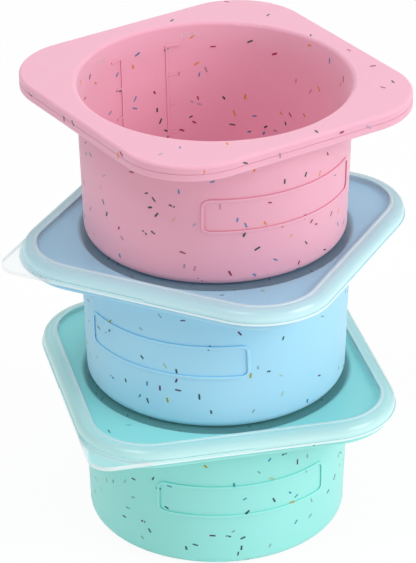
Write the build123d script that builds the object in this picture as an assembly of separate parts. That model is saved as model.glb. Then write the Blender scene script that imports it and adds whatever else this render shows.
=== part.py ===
"""A stack of three silicone dough proofing tubs, with a lid on the bottom and the middle one.

Every tub is the same moulding, and so is every lid. Each is drawn in its own frame, with the tub's
base on Z = 0, then lifted to its level of the stack and turned about the stack's axis.
"""
import math
import os

from build123d import *

os.makedirs("parts", exist_ok=True)

# Tub: a round cup with a flat, rounded-square rim
TUB_H = 73.0               # base to the rim's top face
RIM_HALF = 73.0            # half of the rim's side
RIM_OVERHANG = 10.7        # rim's side out past the wall just under it
WALL_TAPER = 2.1           # how much narrower the wall's outside is at the base, before the foot's round
WALL_T = 2.0
FLOOR_T = 2.8
FOOT_ROUND = 4.0
FLOOR_ROUND = 5.0          # inside, between the floor and the wall
MOUTH_FLARE = 2.0          # how much the inside opens out towards the mouth
FLARE_H = 12.0             # over this height, down from the rim's top face
LIP_ROUND = 2.1

# Rim of the tub
RIM_CORNER_R = 33.5
RIM_T = 7.2
RIM_TOP_ROUND = 1.3
RIM_LOW_ROUND = 0.8
NECK_ROUND = 2.5           # under the rim, where the wall runs into it
PARTING_SHARE = 0.46       # height of the mould's parting line on the rim's side
PARTING_H = 0.4
PARTING_DEPTH = 0.18

# Raised frame on the front of the wall
FRAME_ARC = 80.0           # degrees of the wall that it spans
FRAME_H = 17.0
FRAME_MID_Z = 35.2
FRAME_CORNER_R = 3.6
FRAME_LINE_W = 1.2
FRAME_RELIEF = 0.6

# Filling scale inside, on the wall across from the frame
SCALE_HALF_ARC = 11.8      # degrees from the middle to each upright line
SCALE_TOP_DROP = 9.5       # rim's top face down to the top tick
SCALE_STEP = 14.6
SCALE_TICKS = 4
SCALE_LINE_W = 0.9
TOP_TICK_L = 6.2
TICK_L = 3.9
SCALE_RELIEF = 0.4

# Lid: a shallow cap that grips round the rim, with a sunken panel
LID_GAP = 0.3              # clearance between the rim's side and the skirt
SKIRT_T = 1.2
SKIRT_DROP = 4.1           # rim's top face down to the skirt's lower edge
BORDER_RISE = 2.3          # rim's top face up to the border's top face
FOOT_PLAY = 7.1            # panel's edge out past the foot of the tub that stands on it
PANEL_CORNER_R = 26.0
PANEL_T = 0.8
LID_ROUND = 4.0
BEAD_W = 1.2
BEAD_H = 0.35
BEAD_ROUND = 0.3
FLANGE_OUT = 0.4           # foot of the skirt, outside
FLANGE_T = 1.1
TAB_CORNER_R = 10.0
TAB_T = 2.0

# Stack: turns about its axis, bottom tub first
TURNS = (0.0, -38.6, 20.5)

OVERRUN = 5.0              # how far a cutting shape runs past what it cuts
BITE = 0.6                 # how far raised lines root into the wall

RIM_BASE = TUB_H - RIM_T
WALL_TOP_R = RIM_HALF - RIM_OVERHANG
WALL_FOOT_R = WALL_TOP_R - WALL_TAPER
MOUTH_R = WALL_TOP_R - WALL_T + MOUTH_FLARE
STACK_PITCH = TUB_H + PANEL_T


def profile_solid(points, rounds):
    """A solid of revolution: the points are (radius, height), and rounds gives a radius by point number."""
    face = make_face(Polyline(*points, close=True))
    for number, radius in rounds.items():
        corner = face.vertices().sort_by_distance(Vector(*points[number]))[0]
        face = fillet(corner, radius)
    return revolve(Plane.XZ * face, axis=Axis.Z)


def slab(half, corner_r, low, high):
    """An upright rounded-square block."""
    return Pos(0, 0, low) * extrude(RectangleRounded(2 * half, 2 * half, corner_r), high - low)


def outer_r(z):
    """Outside radius of the tub's wall at a height."""
    return WALL_FOOT_R + (WALL_TOP_R - WALL_FOOT_R) * z / RIM_BASE


def inner_r(z):
    """Inside radius of the tub's wall at a height, below the flare."""
    return outer_r(z) - WALL_T


def cup_solid():
    outer = profile_solid(
        [(0, 0), (outer_r(0), 0), (WALL_TOP_R, RIM_BASE), (WALL_TOP_R + 2 * NECK_ROUND, RIM_BASE),
         (WALL_TOP_R + 2 * NECK_ROUND, TUB_H - RIM_T / 2), (0, TUB_H - RIM_T / 2)],
        {1: FOOT_ROUND, 2: NECK_ROUND})
    rim = slab(RIM_HALF, RIM_CORNER_R, RIM_BASE, TUB_H)
    rim = fillet(rim.faces().sort_by(Axis.Z)[-1].edges(), RIM_TOP_ROUND)
    rim = fillet(rim.faces().sort_by(Axis.Z)[0].edges(), RIM_LOW_ROUND)
    parting_z = RIM_BASE + PARTING_SHARE * RIM_T
    rim -= (slab(RIM_HALF + OVERRUN, RIM_CORNER_R, parting_z, parting_z + PARTING_H)
            - slab(RIM_HALF - PARTING_DEPTH, RIM_CORNER_R - PARTING_DEPTH,
                   parting_z, parting_z + PARTING_H))
    return outer + rim


def cavity():
    """The space inside: a drafted wall that flares smoothly out to a rounded lip, and a round at the floor."""
    foot, flare_foot, mouth = (inner_r(0), FLOOR_T), (inner_r(TUB_H - FLARE_H), TUB_H - FLARE_H), (MOUTH_R, TUB_H)
    wall = Line(foot, flare_foot)
    flare = TangentArc(flare_foot, mouth, tangent=wall % 1)
    rest = Polyline(mouth, (MOUTH_R + OVERRUN, TUB_H), (MOUTH_R + OVERRUN, TUB_H + OVERRUN),
                    (0, TUB_H + OVERRUN), (0, FLOOR_T), foot)
    face = make_face(Curve() + [wall, flare, rest])
    for corner, radius in ((foot, FLOOR_ROUND), (mouth, LIP_ROUND)):
        face = fillet(face.vertices().sort_by_distance(Vector(*corner))[0], radius)
    return revolve(Plane.XZ * face, axis=Axis.Z)


def wall_band(radius_at, inward, outward, low, high):
    """A thin ring that follows the wall, to hold raised lines."""
    return profile_solid([(radius_at(low) - inward, low), (radius_at(low) + outward, low),
                          (radius_at(high) + outward, high), (radius_at(high) - inward, high)], {})


def raised_frame():
    """The rounded outline on the front: drawn flat, carried back on to the wall."""
    half_arc = math.radians(FRAME_ARC / 2)
    half_w = outer_r(FRAME_MID_Z) * math.sin(half_arc)
    upright_w = FRAME_LINE_W * math.cos(half_arc)
    ring = (RectangleRounded(2 * half_w, FRAME_H, FRAME_CORNER_R)
            - RectangleRounded(2 * (half_w - upright_w), FRAME_H - 2 * FRAME_LINE_W,
                               FRAME_CORNER_R - FRAME_LINE_W))
    bars = extrude(Plane.XZ * (Pos(0, FRAME_MID_Z) * ring), WALL_TOP_R + OVERRUN)
    return bars & wall_band(outer_r, BITE, FRAME_RELIEF, FRAME_MID_Z - FRAME_H, FRAME_MID_Z + FRAME_H)


def filling_scale():
    """Two upright lines with ticks that point away from each other."""
    top = TUB_H - SCALE_TOP_DROP
    low = FLOOR_T + FLOOR_ROUND
    x = inner_r(top) * math.sin(math.radians(SCALE_HALF_ARC))
    marks = Sketch()
    for side in (-1, 1):
        upright_h = top + SCALE_LINE_W / 2 - low
        marks += Pos(side * x, low + upright_h / 2) * Rectangle(SCALE_LINE_W, upright_h)
        for number in range(SCALE_TICKS):
            length = TICK_L if number else TOP_TICK_L
            marks += (Pos(side * (x + length / 2), top - number * SCALE_STEP)
                      * Rectangle(length, SCALE_LINE_W))
    bars = extrude(Plane.XZ * marks, -(WALL_TOP_R + OVERRUN))
    return bars & wall_band(inner_r, SCALE_RELIEF, BITE, low - FLOOR_ROUND / 2, RIM_BASE)


def tub():
    return cup_solid() - cavity() + raised_frame() + filling_scale()


def lid():
    """Z = 0 here is the rim's top face, which the panel lies on."""
    half = RIM_HALF + LID_GAP + SKIRT_T
    corner_r = RIM_CORNER_R + LID_GAP + SKIRT_T
    panel_half = WALL_FOOT_R + FOOT_PLAY
    riser_half, riser_corner_r = panel_half + SKIRT_T, PANEL_CORNER_R + SKIRT_T

    cap = slab(half, corner_r, -SKIRT_DROP, BORDER_RISE)
    cap = fillet(cap.faces().sort_by(Axis.Z)[-1].edges(), LID_ROUND)
    hollow = slab(half - SKIRT_T, corner_r - SKIRT_T, -SKIRT_DROP - OVERRUN, BORDER_RISE - SKIRT_T)
    hollow = fillet(hollow.faces().sort_by(Axis.Z)[-1].edges(), LID_ROUND - SKIRT_T)
    hollow -= slab(riser_half, riser_corner_r, 0, BORDER_RISE)
    bead = slab(panel_half + BEAD_W, PANEL_CORNER_R + BEAD_W, BORDER_RISE - BITE, BORDER_RISE + BEAD_H)
    bead = fillet(bead.faces().sort_by(Axis.Z)[-1].edges(), BEAD_ROUND)
    recess = slab(panel_half, PANEL_CORNER_R, PANEL_T, BORDER_RISE + OVERRUN)
    foot = slab(half + FLANGE_OUT, corner_r + FLANGE_OUT, -SKIRT_DROP, -SKIRT_DROP + FLANGE_T)
    return cap + bead + foot + corner_tab(half + FLANGE_OUT) - hollow - recess


def corner_tab(half):
    """A flat sheet that fills one rounded corner out to a tighter one, to peel the lid off by."""
    square = slab(half, TAB_CORNER_R, -SKIRT_DROP, -SKIRT_DROP + TAB_T)
    quarter = Pos(-half / 2, -half / 2, -SKIRT_DROP + TAB_T / 2) * Box(half, half, TAB_T)
    return square & quarter


def save(shape, name, level, turn):
    solid = Pos(0, 0, level) * Rot(0, 0, turn) * shape
    solid.label = name
    export_step(solid, f"parts/{name}.step")


one_tub = tub()
one_lid = lid()
for number, (place, turn) in enumerate(zip(("bottom", "middle", "top"), TURNS)):
    save(one_tub, f"{place}_tub", number * STACK_PITCH, turn)
    if place != "top":
        save(one_lid, f"{place}_lid", number * STACK_PITCH + TUB_H, turn)
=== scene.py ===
"""Looks of the stack of dough proofing tubs: flaked silicone, frosted lids and the filling scale's labels."""

import math
import random

import bmesh
import bpy
from mathutils import Matrix, Vector
from mathutils.bvhtree import BVHTree


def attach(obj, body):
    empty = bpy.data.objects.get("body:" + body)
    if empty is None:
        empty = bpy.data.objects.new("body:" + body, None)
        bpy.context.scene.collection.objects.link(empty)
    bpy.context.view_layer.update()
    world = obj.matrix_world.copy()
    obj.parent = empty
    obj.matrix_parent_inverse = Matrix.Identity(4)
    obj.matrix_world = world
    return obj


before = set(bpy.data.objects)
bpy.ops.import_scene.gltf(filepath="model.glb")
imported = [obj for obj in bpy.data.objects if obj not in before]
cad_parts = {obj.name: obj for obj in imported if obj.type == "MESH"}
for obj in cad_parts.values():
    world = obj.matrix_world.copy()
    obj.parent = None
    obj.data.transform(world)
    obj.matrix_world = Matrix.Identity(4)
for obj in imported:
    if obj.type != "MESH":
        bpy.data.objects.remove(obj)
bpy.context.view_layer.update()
MM = 0.001

# Sizes that the solids have, in millimetres, and each tub's turn in degrees.
STACK_PITCH = 73.8
PANEL_HALF, PANEL_CORNER_R, BORDER_W, BEAD_W = 67.3, 26.0, 7.2, 1.2
LID_FOOT_Z = 68.9
SCALE_R = 60.2                                   # inside radius of the wall at the scale's top tick
SCALE_HALF_ARC, SCALE_TOP_Z = 11.8, 63.5
TURNS = {"bottom": 0.0, "middle": -38.6, "top": 20.5}
LEVELS = {"bottom": 0.0, "middle": STACK_PITCH, "top": 2 * STACK_PITCH}
SLOTS = {"bottom": "mint_silicone", "middle": "blue_silicone", "top": "pink_silicone"}

NOISE_SPAN = (0.3, 0.7)                          # holds most of what a noise node gives
FINE_DETAIL = 2.0                                # of the noise in a grain
STEEP_SPAN = (0.8, 0.1)                          # of a normal's Z, from lying flat to standing upright


def linear(r, g, b):
    """An sRGB colour in 0 to 255, as Blender's linear values."""
    return tuple(c / 255 / 12.92 if c / 255 <= 0.04045 else ((c / 255 + 0.055) / 1.055) ** 2.4
                 for c in (r, g, b))


def mixed(colour, other, share):
    return tuple(a + (b - a) * share for a, b in zip(colour, other))


BLACK, WHITE = (0.0, 0.0, 0.0), (1.0, 1.0, 1.0)
# The near white of the lids' painted highlights.
LID_HIGHLIGHT_WHITE = linear(243, 249, 252)
COLOURS = {"bottom": linear(164, 238, 231), "middle": linear(172, 225, 249), "top": linear(235, 176, 196)}
# Each lid's panel and how hazy it is, its border, and its tab's haze. Haze runs from 0, clear, to 1, for
# each face that the light goes through. Panel and border take some of the colour of the tub below; in the
# panel this tint is partly painted light, the coloured glow of the tub beneath it.
LIDS = {
    "bottom": (linear(156, 232, 240), 0.16, linear(204, 247, 247), 0.4),
    "middle": (linear(184, 215, 228), 0.18, linear(204, 243, 249), 0.08),
}


class Nodes:
    """A short way to build the node tree of a material or a world."""

    def __init__(self, owner):
        owner.use_nodes = True
        self.owner, self.tree = owner, owner.node_tree
        self.tree.nodes.clear()

    def add(self, kind, inputs=None, **settings):
        node = self.tree.nodes.new(kind)
        for key, value in settings.items():
            setattr(node, key, value)
        for key, value in (inputs or {}).items():
            if isinstance(value, bpy.types.NodeSocket):
                self.tree.links.new(value, node.inputs[key])
            else:
                node.inputs[key].default_value = value
        return node

    def math(self, operation, *values):
        return self.add("ShaderNodeMath", dict(enumerate(values)), operation=operation).outputs[0]

    def vectors(self, operation, *values):
        return self.add("ShaderNodeVectorMath", dict(enumerate(values)), operation=operation)

    def ranged(self, value, low, high, to_low=0.0, to_high=1.0):
        return self.add("ShaderNodeMapRange", {"Value": value, "From Min": low, "From Max": high,
                                               "To Min": to_low, "To Max": to_high}).outputs["Result"]

    def ranged_mm(self, length, low, high, to_low=0.0, to_high=1.0):
        """As ranged, with the two ends in millimetres."""
        return self.ranged(length, low * MM, high * MM, to_low, to_high)

    def noise(self, at, scale, detail):
        return self.add("ShaderNodeTexNoise", {"Vector": at, "Scale": scale, "Detail": detail,
                                               "Roughness": 0.6}).outputs["Fac"]

    def grain(self, at, scale, strength, depth):
        """A normal for a fine grain, its depth in millimetres."""
        return self.add("ShaderNodeBump", {"Strength": strength, "Distance": depth * MM,
                                           "Height": self.noise(at, scale, FINE_DETAIL)}).outputs["Normal"]

    def blended(self, share, a, b):
        """Colour a where the share is 0 and b where it is 1, each a socket or three values."""
        ends = {key: value if isinstance(value, bpy.types.NodeSocket) else (*value, 1)
                for key, value in (("A", a), ("B", b))}
        return self.add("ShaderNodeMix", {"Factor": share, **ends}, data_type="RGBA").outputs["Result"]

    def shown(self):
        """1 for a ray that shows the surroundings themselves, straight, in a reflection or through a lid."""
        rays = self.add("ShaderNodeLightPath").outputs
        return self.math("MAXIMUM", self.math("MAXIMUM", rays["Is Camera Ray"], rays["Is Glossy Ray"]),
                         rays["Is Transmission Ray"])

    def shader(self, kind, inputs):
        return self.add(kind, inputs).outputs[0]

    def end(self, socket, kind="ShaderNodeOutputMaterial"):
        self.add(kind, {"Surface": socket})
        return self.owner


# ---------------------------------------------------------------- silicone
CLOUD_SCALE, CLOUD_DETAIL, CLOUD_SHADE = 24.0, 3.0, 0.04
# Painted shade in the creases, found by ambient occlusion: its reach, samples, span and darkening.
CREASE_SHADE_W, CREASE_SHADE_SAMPLES = 1.5, 8                # reach in millimetres
CREASE_SHADE_SPAN = (0.5, 0.92)                        # how open a deep crease is, and where a crease ends
CREASE_SHADE_POWER = 1.5                               # by which the colour deepens there
SILICONE_ROUGHNESS = (0.5, 0.58)
SILICONE_GRAIN = (1400.0, 0.12, 0.12)            # noise scale, strength, and depth in millimetres
SPREAD, SPREAD_DEPTH = 0.5, 2.0                  # share of light that spreads below the surface; how far, mm


def silicone(name, colour, spread=SPREAD):
    """Soft satin silicone: slightly cloudy, with light that spreads below the surface, a fine grain, and
    painted shade in its creases.
    """
    n = Nodes(bpy.data.materials.new(name))
    at = n.add("ShaderNodeTexCoord").outputs["Object"]
    clouds = n.noise(at, CLOUD_SCALE, CLOUD_DETAIL)
    cloudy = n.blended(clouds, mixed(colour, BLACK, CLOUD_SHADE), colour)
    # Painted shade: the colour darkens in the creases, such as beside a raised line, where ambient occlusion
    # finds them.
    crease = n.add("ShaderNodeAmbientOcclusion", {"Distance": CREASE_SHADE_W * MM}, samples=CREASE_SHADE_SAMPLES,
                   only_local=True).outputs["AO"]
    crease_shade_colour = tuple(part ** CREASE_SHADE_POWER for part in colour)
    return n.end(n.shader("ShaderNodeBsdfPrincipled", {
        "Base Color": n.blended(n.ranged(crease, *CREASE_SHADE_SPAN), crease_shade_colour, cloudy),
        "Roughness": n.ranged(clouds, *NOISE_SPAN, *SILICONE_ROUGHNESS),
        "Normal": n.grain(at, *SILICONE_GRAIN), "Subsurface Weight": spread,
        "Subsurface Radius": (1.0, 0.8, 0.8), "Subsurface Scale": SPREAD_DEPTH * MM,
        "Specular IOR Level": 0.25, "Sheen Weight": 0.2}))


# ---------------------------------------------------------------- frosted lid plastic
BORDER_HAZE, EDGE_HAZE = 0.58, 0.35              # of the border, and added on its steep faces and its foot
# Where one look gives way to the next, in millimetres.
PANEL_EDGE_SPAN = (-0.3, 0.3)                    # out from the panel's edge
BEAD_MIDDLE_SPAN, BEAD_SIDE_SPAN = (0.2, 0.5), (0.8, 1.1)  # to either side of the bead's middle line
TAB_SPAN = (0.5, 1.2)                            # out past the border
FOOT_SPAN = (0.3, 0.9)                           # up from the lid's lower edge
BEAD_MIDDLE_SHARE = 0.3                          # of the bead's painted highlight is left along its middle
BEAD_FLATNESS = (0.2, 0.6)                       # of a normal's Z, from the bead's sides to its top
TALL = 1.0                                       # in metres, over every height in the part
LID_CLOUD_SCALE, LID_ROUGHNESS = 18.0, (0.13, 0.18)
LID_GRAIN = (1800.0, 0.03, 0.1)                  # noise scale, strength, and depth in millimetres


def frosted(name, turn, level, panel_colour, panel_haze, border_colour, tab_haze):
    """Translucent lid plastic: clear in the thin panel, and milkier in the border, with painted highlights on
    the bead, the tab's edges and the foot.
    """
    n = Nodes(bpy.data.materials.new(name))
    coordinates = n.add("ShaderNodeTexCoord").outputs
    at = coordinates["Object"]
    height = n.add("ShaderNodeSeparateXYZ", {0: at}).outputs["Z"]
    flatness = n.math("ABSOLUTE", n.add("ShaderNodeSeparateXYZ", {0: coordinates["Normal"]}).outputs["Z"])

    # How far a point lies outside the panel's rounded square, whatever its height.
    own = n.add("ShaderNodeVectorRotate", {"Vector": at, "Angle": -math.radians(turn)},
                rotation_type="Z_AXIS").outputs[0]
    straight = (PANEL_HALF - PANEL_CORNER_R) * MM
    folded = n.vectors("SUBTRACT", n.vectors("ABSOLUTE", own).outputs[0], (straight, straight, TALL))
    beyond = n.vectors("MAXIMUM", folded.outputs[0], (0, 0, 0))
    reach = n.vectors("LENGTH", beyond.outputs[0]).outputs["Value"]
    outside = n.math("SUBTRACT", reach, PANEL_CORNER_R * MM)

    on_border = n.ranged_mm(outside, *PANEL_EDGE_SPAN)
    on_tab = n.ranged_mm(outside, *(BORDER_W + past for past in TAB_SPAN))
    # Painted highlights: the bead between panel and border is palest along its two edges.
    off_bead = n.math("ABSOLUTE", n.math("SUBTRACT", outside, BEAD_W / 2 * MM))
    bead_highlight = n.math("MULTIPLY", n.ranged_mm(off_bead, *BEAD_MIDDLE_SPAN, BEAD_MIDDLE_SHARE, 1.0),
                     n.ranged_mm(off_bead, *BEAD_SIDE_SPAN, 1.0, 0.0))
    bead_highlight = n.math("MULTIPLY", bead_highlight, n.ranged(flatness, *BEAD_FLATNESS))
    # The lid's lower edge gets a painted highlight, and more haze.
    on_foot = n.math("MULTIPLY", n.math("SUBTRACT", on_border, on_tab),
                     n.ranged(height, *(level + (LID_FOOT_Z + rise) * MM for rise in FOOT_SPAN), 1.0, 0.0))
    # Painted highlight on the tab's steep edges.
    tab_edge_highlight = n.math("MULTIPLY", on_tab, n.ranged(flatness, *STEEP_SPAN))

    haze = n.math("ADD", n.math("MULTIPLY", on_border, BORDER_HAZE - panel_haze),
                  n.math("MULTIPLY", on_tab, tab_haze - BORDER_HAZE))
    haze = n.math("ADD", haze, panel_haze)
    haze = n.math("ADD", haze, n.math("MULTIPLY", n.ranged(flatness, *STEEP_SPAN, 0.0, EDGE_HAZE), on_border))
    haze = n.math("ADD", haze, n.math("MULTIPLY", on_foot, EDGE_HAZE))
    # Where these painted highlights fall, the colour goes towards near white.
    painted_highlight = n.math("MAXIMUM", n.math("MAXIMUM", bead_highlight, tab_edge_highlight), on_foot)
    return n.end(n.shader("ShaderNodeBsdfPrincipled", {
        "Base Color": n.blended(painted_highlight, n.blended(on_border, panel_colour, border_colour), LID_HIGHLIGHT_WHITE),
        "Roughness": n.ranged(n.noise(at, LID_CLOUD_SCALE, FINE_DETAIL), *NOISE_SPAN, *LID_ROUGHNESS),
        "Alpha": haze, "Normal": n.grain(at, *LID_GRAIN), "IOR": 1.6}))


# ---------------------------------------------------------------- the CAD nodes' materials
CONTACT_GAP = 0.05                               # in millimetres


def dress(node, material):
    for material_slot in node.material_slots:
        material_slot.material = material


for place, slot in SLOTS.items():
    dress(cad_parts[f"{place}_tub"], silicone(f"soft_{slot}", COLOURS[place]))
for place, look in LIDS.items():
    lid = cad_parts[f"{place}_lid"]
    dress(lid, frosted(f"{place}_frosted_plastic", TURNS[place], LEVELS[place] * MM, *look))
    # The panel lies face to face on the rim. This hair's breadth lets light find which of them comes first.
    lift = lid.modifiers.new("contact_gap", "DISPLACE")
    lift.direction, lift.mid_level, lift.strength = "Z", 0.0, CONTACT_GAP * MM


# ---------------------------------------------------------------- flakes moulded into the silicone
FLAKE_L, FLAKE_W = (1.8, 3.0), (0.65, 0.95)      # least and greatest length and width, in millimetres
FLAKE_AREA = 135.0                               # square millimetres of surface to one flake
FLAKE_APART = 3.2                                # least distance between two flakes' middles
FLAKE_PROUD, FLAKE_DEEP = 0.03, 0.12             # of the silicone's surface, and below it
FLAKE_CAST = 1.0                                 # height from which a flake's points are cast on the surface
FLAKE_BEND = 0.97                                # least cosine between a flake's middle and the skin under it
FLAT_NORMAL, FLAT_SHARE = 0.9, 0.25              # on the rim's top and the floor, this share of them shows
FAINT_SHARE, FAINT_BLEND = 0.25, 0.5             # this share lies deeper, and takes some of the tub's colour
FLAKE_SEED = 41
FLAKES = {                                       # the first of each tub is the commonest
    "bottom": {"slate": (28, 78, 84), "gold": (182, 160, 50), "teal": (20, 145, 175), "plum": (70, 38, 88)},
    "middle": {"pine": (22, 68, 72), "azure": (22, 120, 170), "olive": (155, 160, 40),
               "purple": (82, 36, 98)},
    "top": {"pine": (34, 62, 66), "crimson": (156, 24, 70), "steel": (90, 125, 172),
            "orange": (228, 132, 44)},
}
FLAKE_SHARES = (1.6, 1.0, 1.0, 0.7)


def tub_skin(place):
    """A tub's surface as points, triangles, their areas, and a tree to cast rays on."""
    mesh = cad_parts[f"{place}_tub"].data
    mesh.calc_loop_triangles()
    points = [vertex.co.copy() for vertex in mesh.vertices]
    triangles = [tuple(triangle.vertices) for triangle in mesh.loop_triangles]
    areas = [triangle.area for triangle in mesh.loop_triangles]
    return points, triangles, areas, BVHTree.FromPolygons(points, triangles)


def add_piece(shape, mesh, place):
    """The bmesh as a piece of one tub."""
    bmesh.ops.recalc_face_normals(shape, faces=shape.faces)
    shape.to_mesh(mesh)
    shape.free()
    piece = bpy.data.objects.new(mesh.name, mesh)
    bpy.context.scene.collection.objects.link(piece)
    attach(piece, f"{place}_tub")


def flake_material(name, colour):
    n = Nodes(bpy.data.materials.new(name))
    return n.end(n.shader("ShaderNodeBsdfPrincipled", {"Base Color": (*colour, 1), "Roughness": 0.42}))


def stick_outline(length, width):
    """A short stick with its corners cut, round its middle."""
    x, y, cut = length / 2, width / 2, width / 4
    return [(x - cut, y), (-x + cut, y), (-x, y - cut), (-x, -y + cut),
            (-x + cut, -y), (x - cut, -y), (x, -y + cut), (x, y - cut)]


def lay_flakes(place, skin, seed):
    """Short sticks scattered over the whole skin of one tub, each laid on the surface where it falls."""
    rng = random.Random(seed)
    points, triangles, areas, surface = skin
    mesh = bpy.data.meshes.new(f"{place}_tub_flakes")
    faint_from = len(FLAKES[place])
    for look, share in (("clear", 0.0), ("faint", FAINT_BLEND)):
        for name, colour in FLAKES[place].items():
            mesh.materials.append(flake_material(f"{place}_{name}_flake_{look}",
                                                 mixed(linear(*colour), COLOURS[place], share)))
    shape = bmesh.new()
    laid = []
    for corners in rng.choices(triangles, areas, k=int(sum(areas) / (FLAKE_AREA * MM ** 2))):
        a, b, c = (points[corner] for corner in corners)
        u, v = sorted((rng.random(), rng.random()))
        middle = a * u + b * (v - u) + c * (1 - v)
        normal = (b - a).cross(c - a).normalized()
        turned = rng.uniform(0, math.pi)
        across = normal.orthogonal().normalized()
        along = math.cos(turned) * across + math.sin(turned) * normal.cross(across)
        beside = normal.cross(along)
        number = rng.choices(range(faint_from), FLAKE_SHARES)[0]
        if rng.random() < FAINT_SHARE:
            number += faint_from
        outline = stick_outline(rng.uniform(*FLAKE_L) * MM, rng.uniform(*FLAKE_W) * MM)
        hits = [surface.ray_cast(middle + along * x + beside * y + normal * FLAKE_CAST * MM, -normal,
                                 2 * FLAKE_CAST * MM) for x, y in outline]
        if any(hit[0] is None or hit[1].dot(normal) < FLAKE_BEND for hit in hits):
            continue                             # it would lie over an edge or a raised line
        if any((middle - other).length < FLAKE_APART * MM for other in laid):
            continue
        if normal.z > FLAT_NORMAL and rng.random() > FLAT_SHARE:
            continue
        laid.append(middle)
        top = [shape.verts.new(hit[0] + hit[1] * FLAKE_PROUD * MM) for hit in hits]
        low = [shape.verts.new(hit[0] - hit[1] * FLAKE_DEEP * MM) for hit in hits]
        faces = [shape.faces.new(top), shape.faces.new(reversed(low))]
        faces += [shape.faces.new((top[i - 1], low[i - 1], low[i], top[i])) for i in range(len(top))]
        for face in faces:
            face.material_index = number
    add_piece(shape, mesh, place)


# ---------------------------------------------------------------- filling scale's labels
LABEL_H, LABEL_RELIEF, LABEL_ROOT = 2.3, 0.12, 0.3
CAPITAL_SHARE = 0.7                              # of a font's size is the height of its numbers
LABEL_RISE = 4.0                                 # of a label's middle over the top tick
LABEL_PALLOR = 0.25
# For each side of the scale: its label, and how far the label's middle stands from the upright line.
SCALES = {-1: ("600 ml", 11.2), 1: ("20 oz", 12.8)}


def lettering(text):
    """The text as a solid mesh, its middle at the origin, LABEL_H tall, rooted LABEL_ROOT below z = 0."""
    curve = bpy.data.curves.new(text, "FONT")
    curve.body, curve.align_x, curve.align_y = text, "CENTER", "CENTER"
    curve.size, curve.extrude = LABEL_H / CAPITAL_SHARE, (LABEL_RELIEF + LABEL_ROOT) / 2
    holder = bpy.data.objects.new(text, curve)
    bpy.context.scene.collection.objects.link(holder)
    bpy.context.view_layer.update()
    mesh = bpy.data.meshes.new_from_object(holder)
    mesh.transform(Matrix.Translation((0, 0, (LABEL_RELIEF - LABEL_ROOT) / 2)))
    bpy.data.objects.remove(holder)
    return mesh


def lay_labels(place, surface):
    """Raised labels over the scale's top ticks, wrapped on the inside of the wall across from the frame."""
    shape = bmesh.new()
    line_x = SCALE_R * math.sin(math.radians(SCALE_HALF_ARC))
    for side, (text, away) in SCALES.items():
        label = lettering(text)
        middle = math.radians(90 + TURNS[place]) + side * math.asin((line_x + away) / SCALE_R)
        for vertex in label.vertices:
            x, y, rise = vertex.co
            angle = middle - x / SCALE_R
            outward = Vector((math.cos(angle), math.sin(angle), 0))
            on_axis = Vector((0, 0, (LEVELS[place] + SCALE_TOP_Z + LABEL_RISE + y) * MM))
            radius = (surface.ray_cast(on_axis, outward)[0] - on_axis).length
            vertex.co = on_axis + outward * (radius - rise * MM)
        shape.from_mesh(label)
        bpy.data.meshes.remove(label)
    mesh = bpy.data.meshes.new(f"{place}_tub_labels")
    mesh.materials.append(silicone(f"{place}_raised_labels", mixed(COLOURS[place], WHITE, LABEL_PALLOR),
                                   spread=0.0))
    add_piece(shape, mesh, place)


for number, place in enumerate(SLOTS):
    place_skin = tub_skin(place)
    lay_flakes(place, place_skin, FLAKE_SEED + number)
    lay_labels(place, place_skin[-1])


# ---------------------------------------------------------------- surroundings
FLOOR_WHITE = 0.93                               # share of plain white in the floor seen; the rest has shadow
FLOOR_GREY = 0.9
FLOOR_HALF, FLOOR_DROP = 6.0, 0.0002             # in metres
SKY_LIGHT = 0.6                                  # on the part, while the sky that is seen is plain white

floor_nodes = Nodes(bpy.data.materials.new("pale_floor"))
lit = floor_nodes.shader("ShaderNodeBsdfDiffuse", {"Color": (FLOOR_GREY, FLOOR_GREY, FLOOR_GREY, 1)})
plain = floor_nodes.shader("ShaderNodeEmission", {"Color": (*WHITE, 1), "Strength": 1.0})
floor_share = floor_nodes.math("MULTIPLY", floor_nodes.shown(), FLOOR_WHITE)
floor_material = floor_nodes.end(
    floor_nodes.shader("ShaderNodeMixShader", {0: floor_share, 1: lit, 2: plain}))

floor_mesh = bpy.data.meshes.new("floor")
floor_mesh.from_pydata([(x * FLOOR_HALF, y * FLOOR_HALF, 0) for x, y in ((-1, -1), (1, -1), (1, 1), (-1, 1))],
                       [], [(0, 1, 2, 3)])
floor_mesh.materials.append(floor_material)
floor = bpy.data.objects.new("floor", floor_mesh)
floor.location.z = -FLOOR_DROP
bpy.context.scene.collection.objects.link(floor)

sky = Nodes(bpy.data.worlds.new("studio"))
soft, white = (sky.shader("ShaderNodeBackground", {"Color": (*WHITE, 1), "Strength": strength})
               for strength in (SKY_LIGHT, 1.0))
bpy.context.scene.world = sky.end(
    sky.shader("ShaderNodeMixShader", {0: sky.shown(), 1: soft, 2: white}), "ShaderNodeOutputWorld")
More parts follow.
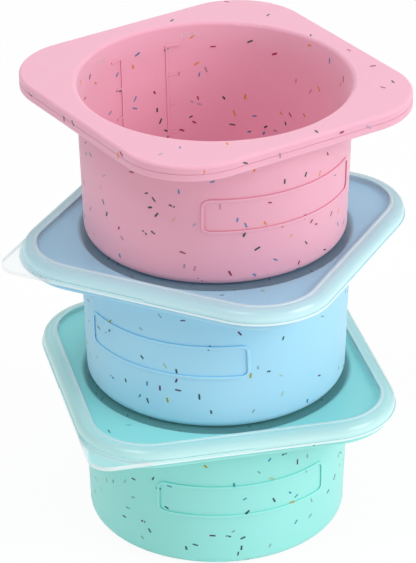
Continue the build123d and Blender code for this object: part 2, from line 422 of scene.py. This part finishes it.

# ---------------------------------------------------------------- camera
# Fitted by measured outlines of the photograph: place, direction and field of view.
CAMERA_AT = Vector((-0.3084, -1.3044, 0.84915))
HEADING, DOWN, TILT = 13.15, 28.64, -0.35        # degrees clockwise from +Y, below level, roll
FOCAL_PX, PHOTO_HIGH = 3298.86, 563
SENSOR_W = 36.0

heading, down, tilt = (math.radians(v) for v in (HEADING, DOWN, TILT))
forward = Vector((math.sin(heading) * math.cos(down), math.cos(heading) * math.cos(down), -math.sin(down)))
level = Vector((math.cos(heading), -math.sin(heading), 0))
upright = level.cross(forward)
right = math.cos(tilt) * level + math.sin(tilt) * upright
up = -math.sin(tilt) * level + math.cos(tilt) * upright
lens = bpy.data.cameras.new("camera")
lens.sensor_fit = "AUTO"
lens.sensor_width = SENSOR_W
lens.lens = FOCAL_PX * SENSOR_W / PHOTO_HIGH
lens.clip_start, lens.clip_end = 0.05, 50.0
camera = bpy.data.objects.new("camera", lens)
camera.matrix_world = Matrix((
    (right.x, up.x, -forward.x, CAMERA_AT.x),
    (right.y, up.y, -forward.y, CAMERA_AT.y),
    (right.z, up.z, -forward.z, CAMERA_AT.z),
    (0, 0, 0, 1)))
bpy.context.scene.collection.objects.link(camera)
bpy.context.scene.camera = camera

# ---------------------------------------------------------------- lamps
# Each lamp's place to the camera's right, towards the camera and up, the height that it aims at on the
# stack's axis and its width, all in metres, and its power in watts.
LAMPS = {
    "key": (1.4, 0.6, 1.0, 0.1, 1.0, 14),
    "fill": (-0.6, 0.7, 1.9, 0.15, 0.9, 9),
    "overhead": (0.2, -0.7, 1.6, 0.15, 1.3, 3),
}
ahead = Vector((forward.x, forward.y, 0)).normalized()
for name, (across, away, height, aim, size, power) in LAMPS.items():
    lamp = bpy.data.lights.new(name, "AREA")
    lamp.shape, lamp.size, lamp.energy = "DISK", size, power
    holder = bpy.data.objects.new(name, lamp)
    holder.location = level * across - ahead * away + Vector((0, 0, height))
    holder.rotation_euler = (Vector((0, 0, aim)) - holder.location).to_track_quat("-Z", "Y").to_euler()
    bpy.context.scene.collection.objects.link(holder)

bpy.context.scene.view_settings.view_transform = "Standard"
